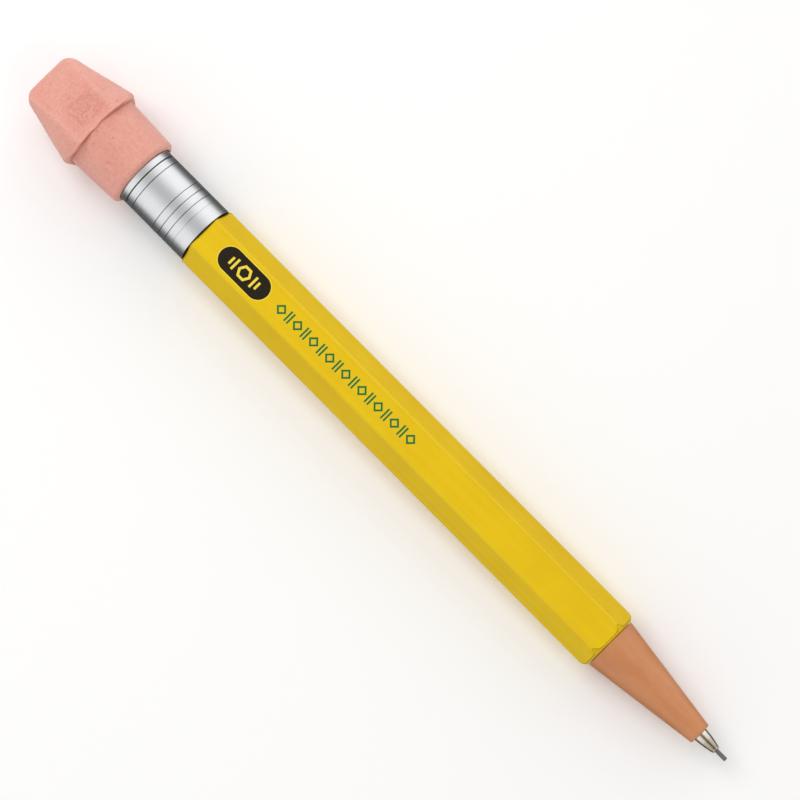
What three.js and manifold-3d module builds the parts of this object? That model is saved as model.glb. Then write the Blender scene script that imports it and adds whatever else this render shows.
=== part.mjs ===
// A twist-feed mechanical pencil in the shape of a classic hexagonal wood pencil: a yellow hexagonal
// barrel, a ringed aluminium ferrule, a wedge-shaped cap eraser and a tan nose cone with a metal tip.
// Turning the ferrule turns a helical sleeve inside the barrel. The sleeve drives a lug that can't turn,
// because it passes through the slot of a fixed guide tube, so the lead moves along the axis.
//
// Millimetres, +Z up. The pencil lies along X with its tip towards +X, two of its six flats level, and
// the flat faces of the cap eraser facing up and down. The origin is under the middle of its length, on
// the lowest line of the cap's flange.

import * as THREE from "three";
import { mergeVertices } from "three/addons/utils/BufferGeometryUtils.js";
import Module from "manifold-3d";

const wasm = await Module();
wasm.setup();

// ---------------------------------------------------------------------------------------------------
// Driving dimensions. A station is a distance along the axis from the rear end of the barrel, positive
// towards the tip.

// Hexagonal barrel
const BARREL_LENGTH = 91.8;
const BARREL_ACROSS_FLATS = 9.75;
const BARREL_CORNER_RADIUS = 0.6;
const BARREL_BORE_RADIUS = 4.2;
const BARREL_RIM_RADIUS = 4.73;
const BARREL_CHAMFER_DEG = 37.5;

// Nose cone
const NOSE_LENGTH = 20.1;
const NOSE_BASE_RADIUS = 4.7;
const NOSE_END_RADIUS = 1.925;
const NOSE_EDGE_RADIUS = 0.2;
const NOSE_SPIGOT_LENGTH = 10.0;
const NOSE_SPIGOT_RADIUS = 4.14;
const NOSE_SPIGOT_LEAD_IN_LENGTH = 0.5;
const NOSE_SPIGOT_LEAD_IN_DEPTH = 0.3;
const NOSE_TIP_SOCKET_LENGTH = 6.3;
const NOSE_TIP_SOCKET_RADIUS = 1.25;
const NOSE_LEAD_PASSAGE_LENGTH = 6.0;
const NOSE_LEAD_PASSAGE_RADIUS = 0.9;

// Metal tip and what sits in it
const TIP_LENGTH = 3.55;
const TIP_BASE_RADIUS = 1.24;
const TIP_SHOULDER_LENGTH = 1.5;
const TIP_SHOULDER_RADIUS = 1.09;
const TIP_NECK_LENGTH = 3.0;
const TIP_NECK_RADIUS = 0.79;
const TIP_END_RADIUS = 0.6;
const TIP_END_ROUND = 0.2;
const TIP_END_ROUND_DEG = 60;
const TIP_SPIGOT_RADIUS = 1.2;
const TIP_SPIGOT_LENGTH = 6.0;
const TIP_CHAMBER_LENGTH = 1.75;
const TIP_CHAMBER_RADIUS = 0.68;
const TIP_MOUTH_RADIUS = 0.39;
const RETAINER_STATION_IN_TIP = 1.7;
const RETAINER_LENGTH = 0.45;
const RETAINER_RADIUS = 0.65;
const RETAINER_BORE_RADIUS = 0.385;

// Lead
const LEAD_RADIUS = 0.35;
const LEAD_LENGTH = 30.0;
const LEAD_OUT = 2.1;
const LEAD_POINT_RADIUS = 0.27;
const LEAD_POINT_LENGTH = 0.25;
const SPARE_LEAD_LENGTH = 60.0;
const SPARE_LEAD_COUNT = 3;
const SPARE_LEAD_RING_RADIUS = 2.58;
const SPARE_LEAD_STEP_DEG = 20;

// Feed. One turn moves the lug by the pitch. LUG_END_MARGIN is what remains of the sleeve in front of the
// lug at the end of its travel.
const HELIX_PITCH = 5.0;
const HELIX_GROOVE_WIDTH = 1.4;
const HELIX_GROOVE_RADIUS = 2.85;
const HELIX_CUTTER_INNER_RADIUS = 1.2;
const LUG_END_MARGIN = 1.7;
const LUG_SIZE = 0.9;
const LUG_REACH = 2.6;
const LUG_TRAVEL_BACK = 2.5;
const LUG_TRAVEL_FORWARD = 20.0;
const CARRIER_RADIUS = 1.1;
const CARRIER_LENGTH = 4.0;
const PUSH_ROD_RADIUS = 0.3;
const CLAW_RADIUS = 0.6;
const CLAW_BORE_RADIUS = 0.38;
const CLAW_LENGTH = 3.0;
const CLAW_GRIP = 1.7;

// Guide tube and helical sleeve
const GUIDE_RADIUS = 1.8;
const GUIDE_BORE_RADIUS = 1.2;
const GUIDE_SLOT_WIDTH = 1.0;
const GUIDE_REAR_STATION = 54.0;
const SLEEVE_RADIUS = 3.7;
const SLEEVE_BORE_RADIUS = 1.95;
const SLEEVE_SPIGOT_LENGTH = 2.5;
const SLEEVE_REAR_STATION = 52.5;
const SLEEVE_FLOOR = 1;

// Spindle tube, which is also the reservoir for spare leads
const SPINDLE_RADIUS = 3.6;
const SPINDLE_BORE_RADIUS = 3.0;
const SPINDLE_GROOVE_RADIUS = 3.3;
const SPINDLE_REAR_STATION = -11.1;

// Bearings and rings inside the barrel
const BEARING_OUTER_RADIUS = 4.15;
const REAR_BEARING_STATION = 0.4;
const REAR_BEARING_LENGTH = 6.0;
const FRONT_BEARING_STATION = 74.0;
const FRONT_BEARING_LENGTH = 5.0;
const WASHER_RADIUS = 4.1;
const WASHER_LENGTH = 0.8;
const CLIP_RADIUS = 4.0;
const CLIP_LENGTH = 0.6;
const CLIP_GAP_WIDTH = 2.2;
const DRAG_RING_STATION = 9.2;
const DRAG_RING_SECTION_RADIUS = 0.4;
const DRAG_RING_SECTION_SIDES = 8;

// Ferrule, its plastic core and the plain eraser it holds
const FERRULE_LENGTH = 18.55;
const FERRULE_RADIUS = 5.35;
const FERRULE_CORE_BORE_RADIUS = 4.95;
const FERRULE_ERASER_BORE_RADIUS = 4.78;
const FERRULE_GAP = 0.2;
const FERRULE_RIM_ROUND = 0.25;
const LINE_DEPTH = 0.12;
const LINE_HALF_WIDTH = 0.2;
const GROOVE_DEPTH = 0.26;
const GROOVE_HALF_WIDTH = 0.32;
const LINE_STEP = 1.4;
const FIRST_LINE = 2.8;
const LINE_COUNT = 4;
const FIRST_GROOVE = 11.65;
const GROOVE_COUNT = 5;
const CORE_RADIUS = 4.9;
const CORE_FLOOR_THICKNESS = 1.4;
const CORE_FLOOR_HOLE_RADIUS = 2.9;
const END_ERASER_RADIUS = 4.7;
const END_ERASER_OUT = 8.3;
const END_ERASER_IN = 5.7;
const END_ERASER_EDGE = 0.6;

// Cap eraser: a round sleeve, and a head that is a cone with two slightly bowed faces. At a height h above
// the flange the faces are CAP_FACE_START - CAP_FACE_SLOPE * h - CAP_FACE_BOW * h * h from the middle.
const CAP_SLEEVE_LENGTH = 9.65;
const CAP_SLEEVE_ROOT_RADIUS = 6.78;
const CAP_SLEEVE_MOUTH_RADIUS = 6.42;
const CAP_LIP_ROUND = 0.8;
const CAP_HEAD_LENGTH = 13.25;
const CAP_HEAD_TOP_RADIUS = 4.91;
const CAP_HEAD_CORNER_ROUND = 2.3;
const CAP_HEAD_SLOPE_DEG = 13.5;
const CAP_FLANGE_ROUND = 1.0;
const CAP_HALF_THICKNESS = 6.9;
const CAP_FACE_START = 6.95;
const CAP_FACE_SLOPE = 0.2;
const CAP_FACE_BOW = 0.0137;
const CAP_FACE_FROM = 0.25;
const CAP_FACE_STEPS = 8;
const CAP_END_ROUND = 1.0;
const CAP_END_STEPS = 3;
const CAP_FERRULE_GRIP = 4.5;

// Clearances
const SEAT_GAP = 0.1;
const SLIDE_GAP = 0.05;

// How far a cutter runs past the piece that it cuts
const CUT_OVERRUN = 1;

// Facets round a full circle, steps along rounded edges, and how close two points are merged
const FACETS = 36;
const SMALL_FACETS = 24;
const LEAD_FACETS = 12;
const GROOVE_STEPS_PER_TURN = 16;
const EDGE_STEPS = 3;
const CAP_ROUND_STEPS = 6;
const BARREL_CORNER_STEPS = 6;
const MERGE_DISTANCE = 1e-4;

// Angle between neighbouring flats of the barrel
const FLAT_STEP_DEG = 60;

// ---------------------------------------------------------------------------------------------------
// Stations that follow from the dimensions above

const noseStation = BARREL_LENGTH + SEAT_GAP;
const noseEndStation = noseStation + NOSE_LENGTH;
const noseSpigotStation = noseStation - NOSE_SPIGOT_LENGTH;
const tipSocketStation = noseEndStation - NOSE_TIP_SOCKET_LENGTH;
const leadPassageStation = tipSocketStation - NOSE_LEAD_PASSAGE_LENGTH;
const tipStation = noseEndStation + SLIDE_GAP;
const tipEndStation = tipStation + TIP_LENGTH;
const leadEndStation = tipEndStation + LEAD_OUT;
const leadRearStation = leadEndStation - LEAD_LENGTH;
const ferruleFrontStation = -FERRULE_GAP;
const ferruleRearStation = ferruleFrontStation - FERRULE_LENGTH;
const endEraserTopStation = ferruleRearStation - END_ERASER_OUT;
const endEraserFootStation = ferruleRearStation + END_ERASER_IN;
const capMouthStation = ferruleRearStation + CAP_FERRULE_GRIP;
const capFlangeStation = capMouthStation - CAP_SLEEVE_LENGTH;
const capTopStation = capFlangeStation - CAP_HEAD_LENGTH;
const sleeveFrontStation = noseSpigotStation - 4 * SEAT_GAP;
const lugStation = sleeveFrontStation - LUG_END_MARGIN - LUG_TRAVEL_FORWARD;
const clipStation = REAR_BEARING_STATION + REAR_BEARING_LENGTH + SEAT_GAP;
const middleStation = (capTopStation + leadEndStation) / 2;

// ---------------------------------------------------------------------------------------------------
// Shape helpers. A profile point is p(station, radius).

const X = new THREE.Vector3(1, 0, 0);
const Y = new THREE.Vector3(0, 1, 0);
const Z = new THREE.Vector3(0, 0, 1);

function p(station, radius) {
  return new THREE.Vector2(radius, station);
}

function rad(degrees) {
  return THREE.MathUtils.degToRad(degrees);
}

// Points on a circular arc in the profile plane. Angle 0 points towards the tip, 90 away from the axis.
function arc(station, radius, round, fromDeg, toDeg, steps) {
  const points = [];
  for (let i = 0; i <= steps; i++) {
    const angle = rad(fromDeg + ((toDeg - fromDeg) * i) / steps);
    points.push(p(station + round * Math.cos(angle), radius + round * Math.sin(angle)));
  }
  return points;
}

// A solid turned about the X axis. The profile either starts and ends on the axis or is closed here.
function turned(profile, facets) {
  const onAxis = profile[0].x === 0 && profile[profile.length - 1].x === 0;
  const points = onAxis ? [...profile] : [...profile, profile[0].clone()];
  if (THREE.ShapeUtils.area(points) < 0) {
    points.reverse();
  }
  const geometry = new THREE.LatheGeometry(points, facets);
  return geometry.applyMatrix4(new THREE.Matrix4().makeBasis(Z, X, Y));
}

function rod(from, to, radius, facets) {
  return turned([p(from, 0), p(from, radius), p(to, radius), p(to, 0)], facets);
}

function tube(from, to, outer, inner, facets) {
  return turned([p(from, inner), p(from, outer), p(to, outer), p(to, inner)], facets);
}

// A box given by its length along X from a station, its width along Y and its span along Z.
function block(from, to, width, low, high) {
  const geometry = new THREE.BoxGeometry(to - from, width, high - low);
  return geometry.translate((from + to) / 2, 0, (low + high) / 2);
}

function solid(geometry) {
  const bare = new THREE.BufferGeometry();
  bare.setAttribute("position", geometry.getAttribute("position"));
  bare.setIndex(geometry.getIndex());
  const merged = mergeVertices(bare, MERGE_DISTANCE);
  return new wasm.Manifold(
    new wasm.Mesh({
      numProp: 3,
      vertProperties: merged.getAttribute("position").array,
      triVerts: new Uint32Array(merged.getIndex().array),
    }),
  );
}

function geometryOf(made) {
  const mesh = made.getMesh();
  const geometry = new THREE.BufferGeometry();
  geometry.setAttribute("position", new THREE.BufferAttribute(mesh.vertProperties, 3));
  geometry.setIndex(new THREE.BufferAttribute(mesh.triVerts, 1));
  geometry.computeVertexNormals();
  return geometry;
}

function finish(color, roughness, metalness) {
  return new THREE.MeshStandardMaterial({ color, roughness, metalness });
}

const YELLOW = finish(0xe6c41c, 0.35, 0);
const TAN = finish(0xc98d62, 0.55, 0);
const NICKEL = finish(0xb0aca2, 0.3, 1);
const ALUMINIUM = finish(0xc4c6c8, 0.35, 1);
const PINK = finish(0xe8a595, 0.85, 0);
const END_PINK = finish(0xe6b3a4, 0.85, 0);
const GRAPHITE = finish(0x3c3d40, 0.5, 0.2);
const BRASS = finish(0xb08d4a, 0.35, 1);
const STEEL = finish(0x9a9ca0, 0.35, 1);
const ACETAL = finish(0xe9e8e2, 0.5, 0);
const GREY_PLASTIC = finish(0x6f7276, 0.55, 0);
const SEAL_RUBBER = finish(0x232323, 0.8, 0);

const pencil = new THREE.Group();

function add(name, geometry, material) {
  const mesh = new THREE.Mesh(geometry, material);
  mesh.name = name;
  pencil.add(mesh);
  return mesh;
}

// ---------------------------------------------------------------------------------------------------
// Barrel: a hexagonal tube with rounded corners, turned to a cone at its front end, which leaves the
// scalloped edge of a sharpened pencil.

function hexagonShape() {
  const halfStep = rad(FLAT_STEP_DEG / 2);
  const cornerCentre = (BARREL_ACROSS_FLATS / 2 - BARREL_CORNER_RADIUS) / Math.cos(halfStep);
  const shape = new THREE.Shape();
  for (let degrees = 0; degrees < 360; degrees += FLAT_STEP_DEG) {
    const angle = rad(degrees);
    shape.absarc(
      cornerCentre * Math.cos(angle),
      cornerCentre * Math.sin(angle),
      BARREL_CORNER_RADIUS,
      angle - halfStep,
      angle + halfStep,
      false,
    );
  }
  return shape;
}

function hexBarrel() {
  const prism = new THREE.ExtrudeGeometry(hexagonShape(), {
    depth: BARREL_LENGTH,
    bevelEnabled: false,
    curveSegments: BARREL_CORNER_STEPS,
  });
  prism.applyMatrix4(new THREE.Matrix4().makeBasis(Y, Z, X));
  const outside = BARREL_ACROSS_FLATS;
  const coneLength = (outside - BARREL_RIM_RADIUS) / Math.tan(rad(BARREL_CHAMFER_DEG));
  const pastFront = BARREL_LENGTH + CUT_OVERRUN;
  const cutter = turned(
    [
      p(pastFront, 0),
      p(pastFront, outside),
      p(BARREL_LENGTH - coneLength, outside),
      p(BARREL_LENGTH, BARREL_RIM_RADIUS),
      p(BARREL_LENGTH, 0),
    ],
    2 * FACETS,
  );
  const bore = rod(-CUT_OVERRUN, pastFront, BARREL_BORE_RADIUS, FACETS);
  return geometryOf(solid(prism).subtract(solid(cutter)).subtract(solid(bore)));
}

add("hex_barrel", hexBarrel(), YELLOW);

// ---------------------------------------------------------------------------------------------------
// Nose cone: the visible cone, a spigot that plugs into the barrel, a bore that holds the guide tube and
// a socket in front for the metal tip.

function noseCone() {
  const slopeDeg = (Math.atan((NOSE_BASE_RADIUS - NOSE_END_RADIUS) / NOSE_LENGTH) * 180) / Math.PI;
  return turned(
    [
      p(noseSpigotStation, NOSE_SPIGOT_RADIUS - NOSE_SPIGOT_LEAD_IN_DEPTH),
      p(noseSpigotStation + NOSE_SPIGOT_LEAD_IN_LENGTH, NOSE_SPIGOT_RADIUS),
      p(noseStation, NOSE_SPIGOT_RADIUS),
      p(noseStation, NOSE_BASE_RADIUS),
      ...arc(
        noseEndStation - NOSE_EDGE_RADIUS,
        NOSE_END_RADIUS - NOSE_EDGE_RADIUS,
        NOSE_EDGE_RADIUS,
        90 - slopeDeg,
        0,
        EDGE_STEPS,
      ),
      p(noseEndStation, NOSE_TIP_SOCKET_RADIUS),
      p(tipSocketStation, NOSE_TIP_SOCKET_RADIUS),
      p(tipSocketStation, NOSE_LEAD_PASSAGE_RADIUS),
      p(leadPassageStation, NOSE_LEAD_PASSAGE_RADIUS),
      p(leadPassageStation, GUIDE_RADIUS + SLIDE_GAP),
      p(noseSpigotStation, GUIDE_RADIUS + SLIDE_GAP),
    ],
    FACETS,
  );
}

add("nose_cone", noseCone(), TAN);

// ---------------------------------------------------------------------------------------------------
// Metal tip: a stepped nozzle on a spigot, with a chamber that the lead claw can enter.

function metalTip() {
  const spigotStation = tipStation - TIP_SPIGOT_LENGTH;
  const chamberEnd = tipStation + TIP_CHAMBER_LENGTH;
  const round = TIP_END_ROUND;
  return turned(
    [
      p(spigotStation, TIP_SPIGOT_RADIUS),
      p(tipStation, TIP_SPIGOT_RADIUS),
      p(tipStation, TIP_BASE_RADIUS),
      p(tipStation + TIP_SHOULDER_LENGTH, TIP_SHOULDER_RADIUS),
      p(tipStation + TIP_NECK_LENGTH, TIP_NECK_RADIUS),
      ...arc(tipEndStation - round, TIP_END_RADIUS - round, round, TIP_END_ROUND_DEG, 0, EDGE_STEPS),
      p(tipEndStation, TIP_MOUTH_RADIUS),
      p(chamberEnd, TIP_MOUTH_RADIUS),
      p(chamberEnd, TIP_CHAMBER_RADIUS),
      p(spigotStation, TIP_CHAMBER_RADIUS),
    ],
    SMALL_FACETS,
  );
}

add("metal_tip", metalTip(), NICKEL);

// The small rubber ring that keeps the lead from falling out.
const retainerEnd = tipStation + RETAINER_STATION_IN_TIP;
add(
  "lead_retainer",
  tube(retainerEnd - RETAINER_LENGTH, retainerEnd, RETAINER_RADIUS, RETAINER_BORE_RADIUS, SMALL_FACETS),
  SEAL_RUBBER,
);

// ---------------------------------------------------------------------------------------------------
// Guide tube: fixed in the nose cone, slotted along its top where it runs inside the helical sleeve.

function guideTube() {
  const front = leadPassageStation - SEAT_GAP;
  const slotEnd = noseSpigotStation - SEAT_GAP;
  const whole = solid(
    tube(GUIDE_REAR_STATION, front, GUIDE_RADIUS, GUIDE_BORE_RADIUS, SMALL_FACETS),
  );
  const slot = solid(
    block(
      GUIDE_REAR_STATION - CUT_OVERRUN,
      slotEnd,
      GUIDE_SLOT_WIDTH,
      0,
      GUIDE_RADIUS + CUT_OVERRUN,
    ),
  );
  return geometryOf(whole.subtract(slot));
}

add("guide_tube", guideTube(), BRASS);

// ---------------------------------------------------------------------------------------------------
// Bearings pressed into the barrel

add(
  "rear_bearing",
  tube(
    REAR_BEARING_STATION,
    REAR_BEARING_STATION + REAR_BEARING_LENGTH,
    BEARING_OUTER_RADIUS,
    SPINDLE_RADIUS + SLIDE_GAP,
    FACETS,
  ),
  ACETAL,
);
add(
  "front_bearing",
  tube(
    FRONT_BEARING_STATION,
    FRONT_BEARING_STATION + FRONT_BEARING_LENGTH,
    BEARING_OUTER_RADIUS,
    SLEEVE_RADIUS + SLIDE_GAP,
    FACETS,
  ),
  ACETAL,
);

// ---------------------------------------------------------------------------------------------------
// Ferrule: a thin aluminium tube with rolled lines near the barrel and deeper crimp grooves near its
// rear rim, where it holds the plain eraser.

function ferruleNotch(distance, halfWidth, depth) {
  const middle = -distance;
  return [
    p(middle + halfWidth, FERRULE_RADIUS),
    p(middle, FERRULE_RADIUS - depth),
    p(middle - halfWidth, FERRULE_RADIUS),
  ];
}

function ferrule() {
  const notches = [];
  for (let i = 0; i < LINE_COUNT; i++) {
    notches.push(...ferruleNotch(FIRST_LINE + i * LINE_STEP, LINE_HALF_WIDTH, LINE_DEPTH));
  }
  for (let i = 0; i < GROOVE_COUNT; i++) {
    notches.push(...ferruleNotch(FIRST_GROOVE + i * LINE_STEP, GROOVE_HALF_WIDTH, GROOVE_DEPTH));
  }
  const round = FERRULE_RIM_ROUND;
  return turned(
    [
      p(ferruleFrontStation, FERRULE_CORE_BORE_RADIUS),
      p(ferruleFrontStation, FERRULE_RADIUS),
      ...notches,
      ...arc(ferruleRearStation + round, FERRULE_RADIUS - round, round, 90, 180, EDGE_STEPS),
      p(ferruleRearStation, FERRULE_ERASER_BORE_RADIUS),
      p(endEraserFootStation, FERRULE_ERASER_BORE_RADIUS),
      p(endEraserFootStation, FERRULE_CORE_BORE_RADIUS),
    ],
    FACETS,
  );
}

add("ferrule", ferrule(), ALUMINIUM);

// The plastic core joins the ferrule to the spindle tube, and its floor is the eraser's seat.
function ferruleCore() {
  const floorRear = endEraserFootStation + SEAT_GAP;
  const floorFront = floorRear + CORE_FLOOR_THICKNESS;
  const front = REAR_BEARING_STATION - WASHER_LENGTH - 2 * SEAT_GAP;
  return turned(
    [
      p(floorRear, CORE_FLOOR_HOLE_RADIUS),
      p(floorRear, CORE_RADIUS),
      p(front, CORE_RADIUS),
      p(front, SPINDLE_RADIUS + SLIDE_GAP),
      p(floorFront, SPINDLE_RADIUS + SLIDE_GAP),
      p(floorFront, CORE_FLOOR_HOLE_RADIUS),
    ],
    FACETS,
  );
}

add("ferrule_core", ferruleCore(), GREY_PLASTIC);

const washerStation = REAR_BEARING_STATION - SEAT_GAP - WASHER_LENGTH;
add(
  "thrust_washer",
  tube(
    washerStation,
    washerStation + WASHER_LENGTH,
    WASHER_RADIUS,
    SPINDLE_RADIUS + SLIDE_GAP,
    FACETS,
  ),
  STEEL,
);

// ---------------------------------------------------------------------------------------------------
// Spindle tube, with grooves for the spring clip and the drag ring

function ringGroove(from, to) {
  return [
    p(from, SPINDLE_RADIUS),
    p(from, SPINDLE_GROOVE_RADIUS),
    p(to, SPINDLE_GROOVE_RADIUS),
    p(to, SPINDLE_RADIUS),
  ];
}

const dragRingEnd = DRAG_RING_STATION + 2 * DRAG_RING_SECTION_RADIUS;

function spindleTube() {
  const front = SLEEVE_REAR_STATION - SEAT_GAP;
  return turned(
    [
      p(SPINDLE_REAR_STATION, SPINDLE_BORE_RADIUS),
      p(SPINDLE_REAR_STATION, SPINDLE_RADIUS),
      ...ringGroove(clipStation - SLIDE_GAP, clipStation + CLIP_LENGTH + SLIDE_GAP),
      ...ringGroove(DRAG_RING_STATION - SLIDE_GAP, dragRingEnd + SLIDE_GAP),
      p(front, SPINDLE_RADIUS),
      p(front, SPINDLE_BORE_RADIUS),
    ],
    FACETS,
  );
}

add("spindle_tube", spindleTube(), GREY_PLASTIC);

// The open spring clip in front of the rear bearing keeps the ferrule from pulling off.
function springClip() {
  const ring = solid(
    tube(
      clipStation,
      clipStation + CLIP_LENGTH,
      CLIP_RADIUS,
      SPINDLE_GROOVE_RADIUS + SLIDE_GAP,
      FACETS,
    ),
  );
  const gap = block(
    clipStation - CUT_OVERRUN,
    clipStation + CLIP_LENGTH + CUT_OVERRUN,
    CLIP_GAP_WIDTH,
    0,
    CLIP_RADIUS + CUT_OVERRUN,
  );
  return geometryOf(ring.subtract(solid(gap)));
}

add("spring_clip", springClip(), STEEL);

// The rubber drag ring gives the twist its feel.
function dragRing() {
  const middle = DRAG_RING_STATION + DRAG_RING_SECTION_RADIUS;
  const ringRadius = SPINDLE_GROOVE_RADIUS + SLIDE_GAP + DRAG_RING_SECTION_RADIUS;
  const lastDeg = 360 - 360 / DRAG_RING_SECTION_SIDES;
  const section = arc(
    middle,
    ringRadius,
    DRAG_RING_SECTION_RADIUS,
    0,
    lastDeg,
    DRAG_RING_SECTION_SIDES - 1,
  );
  return turned(section, FACETS);
}

add("drag_ring", dragRing(), SEAL_RUBBER);

// ---------------------------------------------------------------------------------------------------
// Helical sleeve: a plug that closes the reservoir, and a bore with a left-hand groove. Turned the
// right-hand way about +X, it sends the lug towards the tip.

function helixCutter() {
  const from = -(LUG_TRAVEL_BACK + HELIX_GROOVE_WIDTH) / HELIX_PITCH;
  const to = (sleeveFrontStation + HELIX_GROOVE_WIDTH - lugStation) / HELIX_PITCH;
  const depth = HELIX_GROOVE_RADIUS - HELIX_CUTTER_INNER_RADIUS;
  const steps = Math.ceil((to - from) * GROOVE_STEPS_PER_TURN);
  const straight = new THREE.BoxGeometry(to - from, depth, HELIX_GROOVE_WIDTH, steps, 1, 1);
  straight.translate((from + to) / 2, HELIX_CUTTER_INNER_RADIUS + depth / 2, 0);
  const position = straight.getAttribute("position");
  for (let i = 0; i < position.count; i++) {
    const turns = position.getX(i);
    const radius = position.getY(i);
    const angle = rad(90) - 2 * Math.PI * turns;
    const station = lugStation + HELIX_PITCH * turns + position.getZ(i);
    position.setXYZ(i, station, radius * Math.cos(angle), radius * Math.sin(angle));
  }
  return straight;
}

function helixSleeve() {
  const plugRear = SLEEVE_REAR_STATION - SLEEVE_SPIGOT_LENGTH;
  const plugRadius = SPINDLE_BORE_RADIUS - SLIDE_GAP;
  const cavityStation = SLEEVE_REAR_STATION + SLEEVE_FLOOR;
  const body = turned(
    [
      p(plugRear, 0),
      p(plugRear, plugRadius),
      p(SLEEVE_REAR_STATION, plugRadius),
      p(SLEEVE_REAR_STATION, SLEEVE_RADIUS),
      p(sleeveFrontStation, SLEEVE_RADIUS),
      p(sleeveFrontStation, SLEEVE_BORE_RADIUS),
      p(cavityStation, SLEEVE_BORE_RADIUS),
      p(cavityStation, 0),
    ],
    FACETS,
  );
  return geometryOf(solid(body).subtract(solid(helixCutter())));
}

add("helix_sleeve", helixSleeve(), ACETAL);

// ---------------------------------------------------------------------------------------------------
// Spare leads, lying side by side at the bottom of the reservoir

const spareLeadFront = SLEEVE_REAR_STATION - SLEEVE_SPIGOT_LENGTH - 6 * SEAT_GAP;
for (let i = 0; i < SPARE_LEAD_COUNT; i++) {
  const angle = rad(270 + (i - (SPARE_LEAD_COUNT - 1) / 2) * SPARE_LEAD_STEP_DEG);
  const geometry = rod(
    spareLeadFront - SPARE_LEAD_LENGTH,
    spareLeadFront,
    LEAD_RADIUS,
    LEAD_FACETS,
  );
  const spare = add(`spare_lead_${i + 1}`, geometry, GRAPHITE);
  spare.position.set(
    0,
    SPARE_LEAD_RING_RADIUS * Math.cos(angle),
    SPARE_LEAD_RING_RADIUS * Math.sin(angle),
  );
}

// ---------------------------------------------------------------------------------------------------
// Plain eraser under the cap, which also closes the reservoir

function endEraser() {
  const edge = END_ERASER_EDGE;
  return turned(
    [
      p(endEraserTopStation, 0),
      ...arc(endEraserTopStation + edge, END_ERASER_RADIUS - edge, edge, 180, 90, EDGE_STEPS),
      p(endEraserFootStation, END_ERASER_RADIUS),
      p(endEraserFootStation, 0),
    ],
    FACETS,
  );
}

add("end_eraser", endEraser(), END_PINK);

// ---------------------------------------------------------------------------------------------------
// Cap eraser: turned first, then cut on its upper and lower side, so that it narrows to a wedge

function capProfile() {
  const slope = rad(CAP_HEAD_SLOPE_DEG);
  const coneDeg = 90 + CAP_HEAD_SLOPE_DEG;
  const edge = CAP_HEAD_CORNER_ROUND;
  const cornerCentre = CAP_HEAD_TOP_RADIUS + edge * Math.tan(slope) - edge / Math.cos(slope);
  const flange = CAP_FLANGE_ROUND;
  const sharpFlange = CAP_HEAD_TOP_RADIUS + CAP_HEAD_LENGTH * Math.tan(slope);
  const flangeCentre = sharpFlange - flange * Math.tan(slope) - flange / Math.cos(slope);
  const creaseDeg = (Math.acos((CAP_SLEEVE_ROOT_RADIUS - flangeCentre) / flange) * 180) / Math.PI;
  const lip = CAP_LIP_ROUND;
  const boreStep = ferruleRearStation - 1.5 * SEAT_GAP;
  const boreEnd = endEraserTopStation - 2 * SEAT_GAP;
  return [
    p(capTopStation, 0),
    ...arc(capTopStation + edge, cornerCentre, edge, 180, coneDeg, CAP_ROUND_STEPS),
    ...arc(capFlangeStation - flange, flangeCentre, flange, coneDeg, 90 - creaseDeg, CAP_ROUND_STEPS),
    ...arc(capMouthStation - lip, CAP_SLEEVE_MOUTH_RADIUS - lip, lip, 90, 0, CAP_ROUND_STEPS),
    p(capMouthStation, FERRULE_RADIUS + SLIDE_GAP),
    p(boreStep, FERRULE_RADIUS + SLIDE_GAP),
    p(boreStep, END_ERASER_RADIUS + SLIDE_GAP),
    p(boreEnd, END_ERASER_RADIUS + SLIDE_GAP),
    p(boreEnd, 0),
  ];
}

// Half the distance between the two faces, rounded over at the top.
function capHalfThickness(height) {
  const face = CAP_FACE_START - CAP_FACE_SLOPE * height - CAP_FACE_BOW * height ** 2;
  const past = Math.max(height - (CAP_HEAD_LENGTH - CAP_END_ROUND), 0);
  const rounding = CAP_END_ROUND - Math.sqrt(CAP_END_ROUND ** 2 - past ** 2);
  return Math.min(face - rounding, CAP_HALF_THICKNESS);
}

// A bar along Y with the side view of the cap: as thick as the flange up to it, then narrowing.
function capSideView() {
  const bowed = CAP_HEAD_LENGTH - CAP_END_ROUND;
  const heights = [];
  for (let i = 0; i <= CAP_FACE_STEPS; i++) {
    heights.push(CAP_FACE_FROM + ((bowed - CAP_FACE_FROM) * i) / CAP_FACE_STEPS);
  }
  for (let i = 1; i <= CAP_END_STEPS; i++) {
    heights.push(bowed + CAP_END_ROUND * Math.sin((rad(90) * i) / CAP_END_STEPS));
  }
  const upper = heights.map((h) => new THREE.Vector2(capFlangeStation - h, capHalfThickness(h)));
  upper.unshift(new THREE.Vector2(capMouthStation + CUT_OVERRUN, CAP_HALF_THICKNESS));
  const lower = upper.map((point) => new THREE.Vector2(point.x, -point.y)).reverse();
  const width = 4 * CAP_HALF_THICKNESS;
  const bar = new THREE.ExtrudeGeometry(new THREE.Shape([...upper, ...lower]), {
    depth: width,
    bevelEnabled: false,
  });
  bar.translate(0, 0, -width / 2);
  return bar.applyMatrix4(new THREE.Matrix4().makeBasis(X, Z, Y.clone().negate()));
}

function capEraser() {
  return geometryOf(solid(turned(capProfile(), FACETS)).intersect(solid(capSideView())));
}

add("cap_eraser", capEraser(), PINK);

// ---------------------------------------------------------------------------------------------------
// Feed: the carrier with its lug, the push rod, the claw and the lead

function leadCarrier() {
  const rear = lugStation - CARRIER_LENGTH / 2;
  const front = lugStation + CARRIER_LENGTH / 2;
  const body = rod(rear, front, CARRIER_RADIUS, SMALL_FACETS);
  const lug = block(lugStation - LUG_SIZE / 2, lugStation + LUG_SIZE / 2, LUG_SIZE, 0, LUG_REACH);
  const hole = rod(lugStation, front + CUT_OVERRUN, PUSH_ROD_RADIUS + SLIDE_GAP, LEAD_FACETS);
  return geometryOf(solid(body).add(solid(lug)).subtract(solid(hole)));
}

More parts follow.
